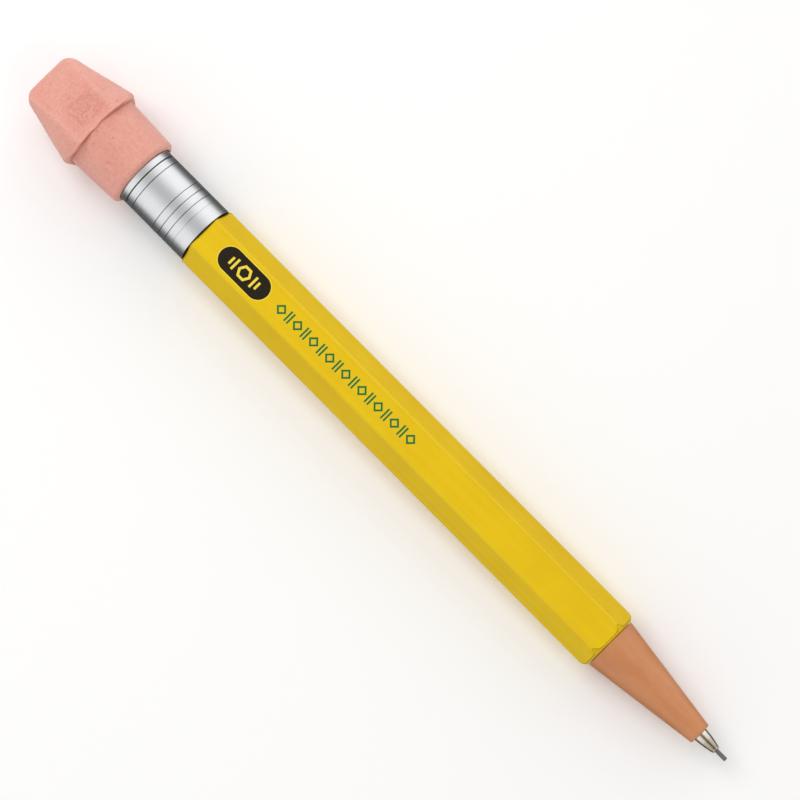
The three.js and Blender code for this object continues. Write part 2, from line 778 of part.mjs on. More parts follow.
add("lead_carrier", leadCarrier(), ACETAL);

const pushRodEnd = leadRearStation - SEAT_GAP;
add("push_rod", rod(lugStation + SEAT_GAP, pushRodEnd, PUSH_ROD_RADIUS, LEAD_FACETS), STEEL);

const clawFront = leadRearStation + CLAW_GRIP;
add(
  "lead_claw",
  tube(clawFront - CLAW_LENGTH, clawFront, CLAW_RADIUS, CLAW_BORE_RADIUS, LEAD_FACETS),
  BRASS,
);

function writingLead() {
  return turned(
    [
      p(leadRearStation, 0),
      p(leadRearStation, LEAD_RADIUS),
      p(leadEndStation - LEAD_POINT_LENGTH, LEAD_RADIUS),
      p(leadEndStation, LEAD_POINT_RADIUS),
      p(leadEndStation, 0),
    ],
    LEAD_FACETS,
  );
}

add("writing_lead", writingLead(), GRAPHITE);

// ---------------------------------------------------------------------------------------------------
// The pencil is modelled on its own axis, and stands on the cap's flange.

pencil.position.set(-middleStation, 0, CAP_HALF_THICKNESS);

export default pencil;
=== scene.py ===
"""Looks of the twist-feed mechanical pencil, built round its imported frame.

Metres, +Z up. The pencil lies along X with its tip towards +X. Sizes below are in millimetres, as on a
drawing, and MM turns them into metres where a mesh or a place is made.
"""

import math

import bpy
import numpy as np
from mathutils import Matrix, Vector, noise

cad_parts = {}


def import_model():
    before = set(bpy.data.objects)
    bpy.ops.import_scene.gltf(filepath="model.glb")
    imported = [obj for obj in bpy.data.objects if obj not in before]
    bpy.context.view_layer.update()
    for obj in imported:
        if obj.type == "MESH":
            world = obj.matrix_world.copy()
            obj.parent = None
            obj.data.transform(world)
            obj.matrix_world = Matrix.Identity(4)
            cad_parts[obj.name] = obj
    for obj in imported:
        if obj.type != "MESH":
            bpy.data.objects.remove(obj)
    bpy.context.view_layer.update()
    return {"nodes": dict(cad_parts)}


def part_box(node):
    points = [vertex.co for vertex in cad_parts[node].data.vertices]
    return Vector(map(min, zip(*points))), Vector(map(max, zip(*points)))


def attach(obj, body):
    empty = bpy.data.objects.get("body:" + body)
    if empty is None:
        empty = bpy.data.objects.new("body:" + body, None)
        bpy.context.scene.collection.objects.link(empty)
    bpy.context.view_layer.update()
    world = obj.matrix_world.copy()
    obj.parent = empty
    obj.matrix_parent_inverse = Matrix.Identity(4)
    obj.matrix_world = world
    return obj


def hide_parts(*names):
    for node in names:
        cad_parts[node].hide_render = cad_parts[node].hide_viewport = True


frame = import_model()

MM = 0.001
TAU = 2 * math.pi

# ---------------------------------------------------------------------------------------------------
# Places, from the frame. Everything along the pencil is a distance in mm from the origin, towards +X.


def span(node):
    """(lowest x, highest x) of a CAD node, in mm."""
    low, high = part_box(node)
    return low.x / MM, high.x / MM


barrel_low, barrel_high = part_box("hex_barrel")
AXIS = (barrel_low.z + barrel_high.z) / 2 / MM
ACROSS_FLATS = (barrel_high.z - barrel_low.z) / MM
BARREL_REAR, BARREL_FRONT = span("hex_barrel")
NOSE_REAR, NOSE_END = span("nose_cone")
TIP_REAR, TIP_END = span("metal_tip")
LEAD_REAR, LEAD_END = span("writing_lead")
FERRULE_REAR, FERRULE_FRONT = span("ferrule")
PLUG_TOP, PLUG_FOOT = span("end_eraser")
CAP_TOP, CAP_MOUTH = span("cap_eraser")
CAP_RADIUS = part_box("cap_eraser")[1].y / MM

# ---------------------------------------------------------------------------------------------------
# Shape helpers


def rounded(corners, closed=False, steps=6):
    """Points along an outline of (x, r, round) corners, each corner with a round turned into an arc."""
    points = []
    count = len(corners)
    for i, (x, r, round_) in enumerate(corners):
        at = Vector((x, r))
        if round_ == 0 or (not closed and i in (0, count - 1)):
            points.append(at)
            continue
        before = (Vector(corners[i - 1][:2]) - at).normalized()
        after = (Vector(corners[(i + 1) % count][:2]) - at).normalized()
        half = before.angle(after) / 2
        reach = round_ / math.tan(half)
        centre = at + (before + after).normalized() * (round_ / math.sin(half))
        start = at + before * reach - centre
        finish = at + after * reach - centre
        sweep = start.angle_signed(finish)
        for k in range(steps + 1):
            turn = -sweep * k / steps
            points.append(centre + Matrix.Rotation(turn, 2) @ start)
    return supported(points, closed)


def divided(points, longest):
    """The closed outline with points added, so that no stretch is longer than that."""
    out = []
    for here, there in zip(points, points[1:] + points[:1]):
        pieces = math.ceil((there - here).length / longest)
        out += [here.lerp(there, k / pieces) for k in range(pieces)]
    return out


# How close to its ends a long stretch gets its extra points, and from what length it counts as long
SUPPORT_REACH = 0.03
LONG_STRETCH = 6 * SUPPORT_REACH


def supported(points, closed):
    """The same outline with a point close to each end of every long stretch, which keeps shading crisp."""
    out = []
    count = len(points)
    for i, here in enumerate(points):
        out.append(here)
        if i == count - 1 and not closed:
            break
        there = points[(i + 1) % count]
        if (there - here).length > LONG_STRETCH:
            step = (there - here).normalized() * SUPPORT_REACH
            out += [here + step, there - step]
    return out


def circle(count):
    """Unit directions (y, z) round the axis."""
    return [(math.cos(TAU * k / count), math.sin(TAU * k / count)) for k in range(count)]


def mesh_of_rings(name, rings, closed=False, fan_start=False, fan_end=False):
    """A smooth mesh of quads between successive rings of (x, y, z) points in mm round the axis."""
    count = len(rings[0])
    points = [point for ring in rings for point in ring]
    faces = []
    pairs = len(rings) if closed else len(rings) - 1
    for i in range(pairs):
        a, b = i * count, ((i + 1) % len(rings)) * count
        for k in range(count):
            n = (k + 1) % count
            faces.append((a + k, b + k, b + n, a + n))
    for wanted, base, flip in ((fan_start, 0, True), (fan_end, (len(rings) - 1) * count, False)):
        if wanted:
            centre = len(points)
            points.append(tuple(np.mean(points[base : base + count], axis=0)))
            for k in range(count):
                n = (k + 1) % count
                faces.append((centre, base + k, base + n)[:: -1 if flip else 1])
    mesh = bpy.data.meshes.new(name)
    mesh.from_pydata([Vector(p) * MM for p in points], [], faces)
    mesh.validate()
    mesh.update()
    mesh.polygons.foreach_set("use_smooth", [True] * len(mesh.polygons))
    made = bpy.data.objects.new(name, mesh)
    bpy.context.scene.collection.objects.link(made)
    facing_out(made)
    return made


def facing_out(piece):
    """Turns the faces round if the closed mesh is inside out."""
    mesh = piece.data
    volume = 0.0
    for face in mesh.polygons:
        corners = [mesh.vertices[i].co for i in face.vertices]
        for k in range(1, len(corners) - 1):
            volume += corners[0].dot(corners[k].cross(corners[k + 1]))
    if volume < 0:
        mesh.flip_normals()


def turned(name, outline, closed=True, count=128):
    """A piece turned about the pencil's axis from points (x, r)."""
    directions = circle(count)
    rings = [[(x, r * y, AXIS + r * z) for y, z in directions] for x, r in outline]
    if closed:
        return mesh_of_rings(name, rings, closed=True)
    return mesh_of_rings(name, rings[1:-1], fan_start=True, fan_end=True)


def stored(piece, name, values, first=0):
    """Keeps a value for each mesh point from the first one on, and 0 for the others, for a material."""
    every = np.zeros(len(piece.data.vertices))
    every[first : first + len(values)] = values
    piece.data.attributes.new(name, "FLOAT", "POINT").data.foreach_set("value", every)


def finish_piece(piece, body, nodes, material):
    """Says what the piece rides on, which CAD nodes it stands for and what it is made of."""
    piece.data.materials.append(material)
    if nodes:
        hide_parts(*nodes)
    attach(piece, body)


# ---------------------------------------------------------------------------------------------------
# Material helpers. Every pattern is laid out in the piece's own coordinates, so it moves with the piece.


# A noise has most of its values between these two.
NOISE_RANGE = (0.3, 0.7)


class Graph:
    """Short names for the nodes that a pattern is made of."""

    def __init__(self, tree):
        self.nodes = tree.nodes
        self.links = tree.links

    def remap(self, value, low, high, to_low, to_high):
        node = self.nodes.new("ShaderNodeMapRange")
        self.links.new(value, node.inputs["Value"])
        for key, number in zip(("From Min", "From Max", "To Min", "To Max"), (low, high, to_low, to_high)):
            node.inputs[key].default_value = number
        return node.outputs["Result"]

    def share(self, value, low, high):
        """How far a value is on its way from low to high, as 0 to 1."""
        return self.remap(value, low, high, 0, 1)

    def spread(self, value, to_low, to_high):
        """A noise spread over another range."""
        return self.remap(value, *NOISE_RANGE, to_low, to_high)

    def math(self, operation, a, b=0.0):
        node = self.nodes.new("ShaderNodeMath")
        node.operation = operation
        for socket, value in zip(node.inputs, (a, b)):
            if isinstance(value, (int, float)):
                socket.default_value = value
            else:
                self.links.new(value, socket)
        return node.outputs["Value"]

    def blend(self, factor, a, b):
        """A colour between a and b; each is a colour or a colour output."""
        node = self.nodes.new("ShaderNodeMix")
        node.data_type = "RGBA"
        self.links.new(factor, node.inputs["Factor"])
        for key, value in (("A", a), ("B", b)):
            socket = [s for s in node.inputs if s.name == key and s.type == "RGBA"][0]
            if isinstance(value, tuple):
                socket.default_value = (*value, 1)
            else:
                self.links.new(value, socket)
        return [s for s in node.outputs if s.type == "RGBA"][0]


class Finish(Graph):
    """A Principled material and the patterns that make it."""

    def __init__(self, name, colour, roughness, **settings):
        self.material = bpy.data.materials.new(name)
        self.material.use_nodes = True
        super().__init__(self.material.node_tree)
        self.shader = self.nodes["Principled BSDF"]
        self.shader.inputs["Base Color"].default_value = (*colour, 1)
        self.shader.inputs["Roughness"].default_value = roughness
        for key, value in settings.items():
            self.shader.inputs[key.replace("_", " ")].default_value = value
        self.height = None

    def place(self, stretch=(1, 1, 1)):
        """The piece's own coordinates, in mm, multiplied by stretch."""
        coordinate = self.nodes.new("ShaderNodeTexCoord")
        mapping = self.nodes.new("ShaderNodeMapping")
        mapping.inputs["Scale"].default_value = [s / MM for s in stretch]
        self.links.new(coordinate.outputs["Object"], mapping.inputs["Vector"])
        return mapping.outputs["Vector"]

    def noise(self, scale, stretch=(1, 1, 1), detail=4, rough=0.55, distortion=0.0):
        node = self.nodes.new("ShaderNodeTexNoise")
        node.inputs["Scale"].default_value = scale
        node.inputs["Detail"].default_value = detail
        node.inputs["Roughness"].default_value = rough
        node.inputs["Distortion"].default_value = distortion
        self.links.new(self.place(stretch), node.inputs["Vector"])
        return node.outputs["Fac"]

    def cells(self, scale):
        """Distance to the nearest of many scattered points."""
        node = self.nodes.new("ShaderNodeTexVoronoi")
        node.inputs["Scale"].default_value = scale
        self.links.new(self.place(), node.inputs["Vector"])
        return node.outputs["Distance"]

    def colour(self, value):
        self.links.new(value, self.shader.inputs["Base Color"])

    def roughness(self, value):
        self.links.new(value, self.shader.inputs["Roughness"])

    def bump(self, value, depth):
        """Adds a relief of that depth, in mm, to the surface."""
        node = self.nodes.new("ShaderNodeBump")
        node.inputs["Strength"].default_value = 1
        node.inputs["Distance"].default_value = depth * MM
        self.links.new(value, node.inputs["Height"])
        if self.height:
            self.links.new(self.height, node.inputs["Normal"])
        self.height = node.outputs["Normal"]
        self.links.new(self.height, self.shader.inputs["Normal"])

    def painted(self, name):
        """A value stored on the mesh's points."""
        node = self.nodes.new("ShaderNodeAttribute")
        node.attribute_name = name
        return node.outputs["Fac"]


def linear(red, green, blue):
    """Linear colour of an sRGB colour given as 0 to 255."""
    shares = [c / 255 for c in (red, green, blue)]
    return tuple(s / 12.92 if s <= 0.04045 else ((s + 0.055) / 1.055) ** 2.4 for s in shares)


# ---------------------------------------------------------------------------------------------------
# Materials


def barrel_paint():
    """Glossy yellow lacquer with faint lengthwise streaks, and painted shade in the groove at the crease."""
    yellow = linear(231, 194, 6)
    deep = linear(224, 184, 4)
    f = Finish("barrel_paint", yellow, 0.34, Specular_IOR_Level=0.25, Coat_Weight=0.08, Coat_Roughness=0.15)
    streak = f.noise(1.0, stretch=(0.02, 1.1, 1.1), detail=5)
    cloud = f.noise(0.1, detail=3)
    streaked = f.blend(f.share(f.math("ADD", streak, cloud), 0.75, 1.3), yellow, deep)
    # Painted shade: dark olive in the deepest part of the groove at the crease, standing for the groove's
    # shade.
    f.colour(f.blend(f.painted("crease"), streaked, linear(166, 128, 14)))
    f.roughness(f.spread(f.noise(0.7, detail=5), 0.28, 0.4))
    f.bump(f.noise(0.3, stretch=(0.15, 1, 1), detail=0), 0.006)
    f.bump(f.noise(9.0, detail=3), 0.0012)
    return f.material


def nose_plastic():
    """Satin tan plastic with faint lengthwise streaks like cut cedar."""
    tan = linear(207, 140, 94)
    dark = linear(199, 130, 84)
    f = Finish("nose_plastic", tan, 0.4, Specular_IOR_Level=0.42)
    streak = f.noise(0.8, stretch=(0.12, 1.0, 1.0), detail=4)
    cloud = f.noise(0.25, detail=3)
    f.colour(f.blend(f.share(f.math("ADD", streak, cloud), 0.75, 1.25), tan, dark))
    f.roughness(f.spread(f.noise(1.5, detail=5), 0.34, 0.46))
    f.bump(f.noise(1.0, stretch=(0.1, 4, 4), detail=4), 0.0015)
    f.bump(f.noise(9.0, detail=3), 0.003)
    return f.material


def eraser_rubber(name, pink, deep):
    """Dull vinyl rubber: a little mottled, with fine grain and scattered pits."""
    f = Finish(name, pink, 0.78, Specular_IOR_Level=0.3, Subsurface_Weight=0.1, Sheen_Weight=0.2)
    f.shader.inputs["Subsurface Scale"].default_value = 0.8 * MM
    f.shader.inputs["Subsurface Radius"].default_value = (1.0, 0.35, 0.25)
    cloud = f.noise(0.3, detail=5, rough=0.6)
    grain = f.noise(2.2, detail=5, rough=0.8)
    mottling = f.math("ADD", f.math("MULTIPLY", cloud, 0.3), grain)
    f.colour(f.blend(f.share(mottling, 0.48, 0.82), pink, deep))
    f.roughness(f.spread(f.noise(2.0, detail=4), 0.7, 0.88))
    f.bump(f.noise(0.9, detail=3), 0.03)
    f.bump(f.noise(2.0, detail=5, rough=0.8), 0.16)
    f.bump(f.noise(7.0, detail=5, rough=0.75), 0.05)
    pits = f.share(f.cells(0.8), 0.05, 0.16)
    f.bump(pits, 0.12)
    return f


def cap_rubber():
    """The cap's rubber: paler and powdery on its worn edges, rougher and darker in the mould mark, with
    painted shade in the mark's squiggle lines and in the fold of the crease.
    """
    f = eraser_rubber("cap_rubber", linear(238, 175, 160), linear(227, 152, 136))
    edges = f.painted("worn")
    patches = f.remap(f.noise(2.5, detail=5, rough=0.7), 0.25, 0.6, 0.2, 1)
    worn = f.math("MULTIPLY", edges, patches)
    mark = f.painted("mark")
    mottled = f.shader.inputs["Base Color"].links[0].from_socket
    stained = f.blend(f.math("MULTIPLY", mark, 0.4), mottled, linear(231, 154, 138))
    level = f.math("ABSOLUTE", f.math("SUBTRACT", f.noise(1.1, detail=1, distortion=0.8), 0.5))
    squiggle = f.math("MULTIPLY", f.remap(level, 0.0, 0.06, 1, 0), mark)
    # Painted shade: the mould mark's squiggle lines are darker, standing for the shade in their relief.
    squiggle_shaded = f.blend(f.math("MULTIPLY", squiggle, 0.4), stained, linear(214, 128, 110))
    # Painted shade: darker red-brown in the open fold of the crease under the flange.
    fold_shaded = f.blend(f.painted("fold_shade"), squiggle_shaded, linear(218, 116, 90))
    f.colour(f.blend(f.math("MULTIPLY", worn, 0.4), fold_shaded, linear(241, 189, 175)))
    f.bump(squiggle, 0.06)
    return f.material


def ferrule_aluminium():
    """Bright rolled aluminium, finely brushed round the axis, with painted shade in its lines and grooves.
    """
    bright = linear(243, 244, 245)
    grey = linear(234, 236, 238)
    f = Finish("ferrule_aluminium", bright, 0.24, Metallic=1.0, Anisotropic=0.3)
    tangent = f.nodes.new("ShaderNodeTangent")
    tangent.direction_type = "RADIAL"
    tangent.axis = "X"
    f.links.new(tangent.outputs["Tangent"], f.shader.inputs["Tangent"])
    brush = f.noise(1.0, stretch=(9.0, 0.08, 0.08), detail=6, rough=0.7)
    brushed = f.blend(f.share(brush, 0.35, 0.65), bright, grey)
    # Painted shade: near black at the bottom of the lines and grooves.
    f.colour(f.blend(f.painted("groove_shade"), brushed, linear(52, 53, 54)))
    f.roughness(f.spread(f.noise(1.0, stretch=(14.0, 0.15, 0.15), detail=4), 0.22, 0.28))
    f.bump(brush, 0.0002)
    return f.material


def tip_metal():
    """Turned, nickel-plated metal with fine tool marks round the axis, and painted shade darkening its
    taper.
    """
    nickel = linear(252, 246, 236)
    shade = linear(240, 232, 218)
    f = Finish("tip_metal", nickel, 0.1, Metallic=1.0)
    lathe = f.noise(1.0, stretch=(16.0, 0.3, 0.3), detail=4, rough=0.7)
    polished = f.blend(f.spread(lathe, 0, 1), nickel, shade)
    # Painted shade: the taper's colour is darker, standing for a darker reflection.
    f.colour(f.blend(f.painted("taper_shade"), polished, linear(192, 182, 161)))
    f.roughness(f.spread(f.noise(3.0, detail=3), 0.08, 0.13))
    f.bump(lathe, 0.0002)
    return f.material


def graphite():
    """Dark grey lead with a soft sheen and drawn lines along it."""
    grey = linear(126, 122, 119)
    dark = linear(99, 96, 93)
    f = Finish("graphite", grey, 0.42, Metallic=0.35)
    lines = f.noise(1.0, stretch=(0.6, 9.0, 9.0), detail=4, rough=0.7)
    f.colour(f.blend(f.spread(lines, 0, 1), grey, dark))
    f.roughness(f.spread(f.noise(6.0, detail=3), 0.34, 0.52))
    f.bump(lines, 0.004)
    return f.material


def plain_metal(name, bright, taper_shade, roughness):
    """Drawn or turned metal of the inner pieces."""
    f = Finish(name, bright, roughness, Metallic=1.0)
    marks = f.noise(1.0, stretch=(7.0, 0.4, 0.4), detail=5, rough=0.65)
    f.colour(f.blend(f.spread(marks, 0, 1), bright, taper_shade))
    f.roughness(f.spread(f.noise(2.5, detail=4), roughness - 0.07, roughness + 0.1))
    f.bump(marks, 0.003)
    return f.material


def plain_plastic(name, light, dark, roughness):
    """Moulded plastic of the inner pieces, with a fine moulded grain."""
    f = Finish(name, light, roughness)
    f.colour(f.blend(f.share(f.noise(0.4, detail=4), 0.35, 0.65), light, dark))
    f.roughness(f.spread(f.noise(3.0, detail=4), roughness - 0.06, roughness + 0.08))
    f.bump(f.noise(8.0, detail=3), 0.003)
    return f.material


def print_ink(name, ink, worn):
    """Screen-printed ink, a little uneven where it is thin."""
    f = Finish(name, ink, 0.42, Specular_IOR_Level=0.2)
    f.colour(f.blend(f.share(f.noise(3.5, detail=5, rough=0.65), 0.5, 0.85), ink, worn))
    f.roughness(f.spread(f.noise(5.0, detail=3), 0.34, 0.5))
    f.bump(f.noise(10.0, detail=3), 0.002)
    return f.material


def floor_paper():
    """Pale, matt studio paper."""
    f = Finish("floor_paper", (0.97, 0.97, 0.97), 0.9)
    f.colour(f.blend(f.noise(0.01, detail=3), (0.98, 0.98, 0.98), (0.96, 0.96, 0.96)))
    return f.material


# ---------------------------------------------------------------------------------------------------
# Barrel: a hexagonal tube, turned to a cone at its front end

BARREL_CORNER_ROUND = 0.6
BARREL_CORNER_STEPS = 12
BARREL_POINT_SPACING = 0.25
BARREL_SECTIONS = 30
BARREL_BORE = 4.2
BARREL_RIM = 4.73
BARREL_RIM_INSET = 0.05
BARREL_RIM_BREAK = 0.01
BARREL_EDGE = 0.1
BARREL_EDGE_STEPS = 4
CREASE_ON_FLATS = 0.22
CREASE_AT_CORNERS = 1.12
CREASE_SHARPNESS = 2.8
CREASE_GROOVE = 0.04

# The groove at the crease, as (distance behind the crease, share of CREASE_GROOVE), and the rings of the
# turned cone in front of it, as shares of the way to the rim
GROOVE_PROFILE = ((0.25, 0.0), (0.13, 0.0), (0.1, 1.0), (0.04, 1.0), (0.01, 0.0), (-0.03, 0.3))
CONE_SHARES = (0.2, 0.5, 0.8, 0.95)


def hexagon(across_flats, corner_round, steps):
    """Points (y, z) round a hexagon with level flats above and below."""
    reach = across_flats / 2 / math.cos(math.radians(30))
    corners = []
    for k in range(6):
        angle = math.radians(60 * k)
        corners.append((reach * math.cos(angle), reach * math.sin(angle), corner_round))
    return rounded(corners, closed=True, steps=steps)


def softly_less(a, b, blend):
    """The smaller of two lengths, with a rounded change-over."""
    h = max(blend - abs(a - b), 0.0) / blend
    return min(a, b) - h * h * blend / 4


def barrel():
    hexagonal = hexagon(ACROSS_FLATS, BARREL_CORNER_ROUND, BARREL_CORNER_STEPS)
    outline = divided(hexagonal, BARREL_POINT_SPACING)
    directions = [p.normalized() for p in outline]
    radii = [p.length for p in outline]
    flat, corner = min(radii), max(radii)

    def ring(place):
        points = []
        for direction, radius in zip(directions, radii):
            x, r = place(radius)
            points.append((x, r * direction.x, AXIS + r * direction.y))
        return points

    def rear_edge(turn):
        """The slightly rounded rear edge; turn goes from 0 on the end face to 1 on the flats."""
        left = 1 - math.sin(turn * math.pi / 2)
        return lambda r: (BARREL_REAR + BARREL_EDGE * left, r - BARREL_EDGE * left**2)

    def crease(r):
        """How far behind the rim the turned front begins: further at the corners, in narrow scallops."""
        share = ((r - flat) / (corner - flat)) ** CREASE_SHARPNESS
        return CREASE_ON_FLATS + (CREASE_AT_CORNERS - CREASE_ON_FLATS) * share

    def behind_crease(offset, depth):
        return lambda r: (BARREL_FRONT - crease(r) - offset, r - depth)

    def ahead_of_crease(share):
        return lambda r: (BARREL_FRONT - crease(r) * (1 - share), r + (BARREL_RIM - r) * share)

    rings = [ring(lambda r: (BARREL_REAR, BARREL_BORE))]
    rings += [ring(rear_edge(k / BARREL_EDGE_STEPS)) for k in range(BARREL_EDGE_STEPS + 1)]
    start = BARREL_REAR + 3 * BARREL_EDGE
    stretch = BARREL_FRONT - 2 * CREASE_AT_CORNERS - start
    for k in range(BARREL_SECTIONS + 1):
        x = start + stretch * k / BARREL_SECTIONS
        rings.append(ring(lambda r, x=x: (x, r)))
    before_groove = len(rings)
    rings += [ring(behind_crease(offset, share * CREASE_GROOVE)) for offset, share in GROOVE_PROFILE]
    rings += [ring(ahead_of_crease(share)) for share in CONE_SHARES]
    rings.append(ring(lambda r: (BARREL_FRONT - BARREL_RIM_BREAK, BARREL_RIM - BARREL_RIM_BREAK)))
    rings.append(ring(lambda r: (BARREL_FRONT, BARREL_RIM - BARREL_RIM_INSET)))
    rings.append(ring(lambda r: (BARREL_FRONT, BARREL_BORE)))
    made = mesh_of_rings("barrel_shell", rings, closed=True)
    # Painted shade goes on the deepest rings of the groove at the crease.
    crease_shade = [1.0 if share == 1 else 0.0 for offset, share in GROOVE_PROFILE]
    stored(made, "crease", np.repeat(crease_shade, len(outline)), first=before_groove * len(outline))
    return made


finish_piece(barrel(), "barrel", ["hex_barrel"], barrel_paint())

# ---------------------------------------------------------------------------------------------------
# Print on the top flat: a capsule badge with a plain hexagon motif, and a green line of ornament. Both
# stand for the original's marks and don't repeat them.

TOP_FLAT = AXIS + ACROSS_FLATS / 2
PRINT_DEPTH = 0.03
OUTLINE_RISE = 0.006
CAPSULE_RISE = 0.008
PRINT_RISE = 0.012

BADGE_FROM = 4.16
BADGE_LENGTH = 10.42
BADGE_WIDTH = 4.18
BADGE_OUTLINE = 0.16
BADGE_END_STEPS = 24
BADGE_MIDDLE = BARREL_REAR + BADGE_FROM + BADGE_LENGTH / 2
MOTIF_RADIUS = 1.35
MOTIF_STROKE = 0.5
MOTIF_BAR_LENGTH = 0.42
MOTIF_BAR_WIDTH = 2.1
MOTIF_BAR_NARROWING = 0.7
MOTIF_TO_BAR = 0.7
MOTIF_BAR_STEP = 0.85

ORNAMENT_FROM = 16.7
ORNAMENT_LENGTH = 32.0
ORNAMENT_WIDTH = 2.05
ORNAMENT_Y = 0.13
ORNAMENT_STROKE = 0.3
DIAMOND_COUNT = 9
DIAMOND_SHARE_OF_PITCH = 0.75
DIAMOND_HALF_LENGTH = 1.02
BAR_OFFSET = 0.3


def printed(name, outlines, rise, material):
    """Thin flat shapes on the top flat. An outline is (outer points, inner points or None), in mm."""
    mesh = bpy.data.meshes.new(name)
    points, faces = [], []
    top, bottom = TOP_FLAT + rise, TOP_FLAT - PRINT_DEPTH
    for outer, inner in outlines:
        base = len(points)
        count = len(outer)
        loops = [outer] if inner is None else [outer, inner]
        for height in (top, bottom):
            for loop in loops:
                points += [(x, y, height) for x, y in loop]
        lower = base + count * len(loops)
        for k in range(count):
            n = (k + 1) % count
            faces.append((base + k, lower + k, lower + n, base + n))
            if inner is not None:
                faces.append((base + count + n, lower + count + n, lower + count + k, base + count + k))
                faces.append((base + k, base + n, base + count + n, base + count + k))
                faces.append((lower + n, lower + k, lower + count + k, lower + count + n))
        if inner is None:
            faces.append(tuple(base + k for k in range(count)))
            faces.append(tuple(lower + k for k in reversed(range(count))))
    mesh.from_pydata([Vector(p) * MM for p in points], [], faces)
    mesh.update()
    made = bpy.data.objects.new(name, mesh)
    bpy.context.scene.collection.objects.link(made)
    finish_piece(made, "barrel", [], material)


def capsule(middle, length, width):
    """Points of a long shape with round ends, counter-clockwise from above."""
    radius = width / 2
    points = []
    for side in (1, -1):
        centre = middle + side * (length / 2 - radius)
        for k in range(BADGE_END_STEPS):
            angle = math.pi * k / (BADGE_END_STEPS - 1) - side * math.pi / 2
            points.append((centre + radius * math.cos(angle), radius * math.sin(angle)))
    return points


def polygon(middle, y, radius_x, radius_y, sides):
    """Points of a polygon with a corner towards the tip, stretched to two radii."""
    points = []
    for k in range(sides):
        angle = TAU * k / sides
        points.append((middle + radius_x * math.cos(angle), y + radius_y * math.sin(angle)))
    return points


def bar(middle, y, length, width):
    """Points of a rectangle, counter-clockwise from above."""
    half_x, half_y = length / 2, width / 2
    return [
        (middle - half_x, y - half_y),
        (middle + half_x, y - half_y),
        (middle + half_x, y + half_y),
        (middle - half_x, y + half_y),
    ]


def badge():
    """A dark capsule in a pale outline, with a hexagonal ring and two bars on each side of it."""
    black = print_ink("badge_black", linear(32, 27, 16), linear(50, 43, 26))
    pale = print_ink("badge_yellow", linear(240, 212, 70), linear(232, 198, 44))
    outer = capsule(BADGE_MIDDLE, BADGE_LENGTH + 2 * BADGE_OUTLINE, BADGE_WIDTH + 2 * BADGE_OUTLINE)
    inner = capsule(BADGE_MIDDLE, BADGE_LENGTH, BADGE_WIDTH)
    printed("badge_outline", [(outer, inner)], OUTLINE_RISE, pale)
    printed("badge_capsule", [(inner, None)], CAPSULE_RISE, black)
    hole_radius = MOTIF_RADIUS - MOTIF_STROKE
    ring = polygon(BADGE_MIDDLE, 0, MOTIF_RADIUS, MOTIF_RADIUS, 6)
    hole = polygon(BADGE_MIDDLE, 0, hole_radius, hole_radius, 6)
    motif = [(ring, hole)]
    for side in (-1, 1):
        for step in (0, 1):
            middle = BADGE_MIDDLE + side * (MOTIF_RADIUS + MOTIF_TO_BAR + MOTIF_BAR_STEP * step)
            width = MOTIF_BAR_WIDTH - MOTIF_BAR_NARROWING * step
            motif.append((bar(middle, 0, MOTIF_BAR_LENGTH, width), None))
    printed("badge_motif", motif, PRINT_RISE, pale)


def ornament():
    """Open diamonds with pairs of bars between them, in green."""
    green = print_ink("ornament_green", linear(0, 112, 62), linear(10, 120, 54))
    pitch = ORNAMENT_LENGTH / (DIAMOND_COUNT - 1 + DIAMOND_SHARE_OF_PITCH)
    half_x = DIAMOND_HALF_LENGTH
    half_y = ORNAMENT_WIDTH / 2
    inset_x = ORNAMENT_STROKE * math.hypot(half_x, half_y) / half_y
    inset_y = ORNAMENT_STROKE * math.hypot(half_x, half_y) / half_x
    shapes = []
    for k in range(DIAMOND_COUNT):
        middle = BARREL_REAR + ORNAMENT_FROM + half_x + k * pitch
        outer = polygon(middle, ORNAMENT_Y, half_x, half_y, 4)
        inner = polygon(middle, ORNAMENT_Y, half_x - inset_x, half_y - inset_y, 4)
        shapes.append((outer, inner))
        if k == DIAMOND_COUNT - 1:
            break
        for side in (-1, 1):
            place = middle + pitch / 2 + side * BAR_OFFSET
            shapes.append((bar(place, ORNAMENT_Y, ORNAMENT_STROKE, ORNAMENT_WIDTH), None))
    printed("ornament", shapes, PRINT_RISE, green)


badge()
ornament()

# ---------------------------------------------------------------------------------------------------
# Nose cone and metal tip

NOSE_BASE = 4.7
NOSE_TIP = 1.925
NOSE_SPIGOT = 4.14
NOSE_BORE = 1.85
NOSE_SOCKET = 1.25
NOSE_SOCKET_MOUTH = 1.27
NOSE_SOCKET_LENGTH = 6.3
NOSE_PASSAGE = 0.9
NOSE_PASSAGE_LENGTH = 6.0
NOSE_TO_BARREL = 0.1

# Radii of the metal tip, and how far from its face on the nose cone they are
TIP_SPIGOT = 1.2
TIP_CHAMBER = 0.68
TIP_MOUTH = 0.39
TIP_CHAMBER_END = 1.75
TIP_BASE = 1.24
TIP_SHOULDER = 1.1
TIP_SHOULDER_AT = 1.4
TIP_NECK = 0.79
TIP_NECK_AT = 3.0
TIP_FRONT = 0.6
TIP_TO_NOSE = 0.05
TIP_SIDES = 96

# Where the tip's taper is painted darker, as painted shade: from a little behind its shoulder, and up to
# just behind its end
SHADE_BEHIND_SHOULDER = 0.3
SHADE_BEHIND_END = 0.1
SHADE_FADE_IN = 0.5
SHADE_FADE_OUT = 0.3

LEAD_RADIUS = 0.35
LEAD_POINT_RADIUS = 0.26
LEAD_POINT_LENGTH = 0.14
LEAD_SIDES = 48


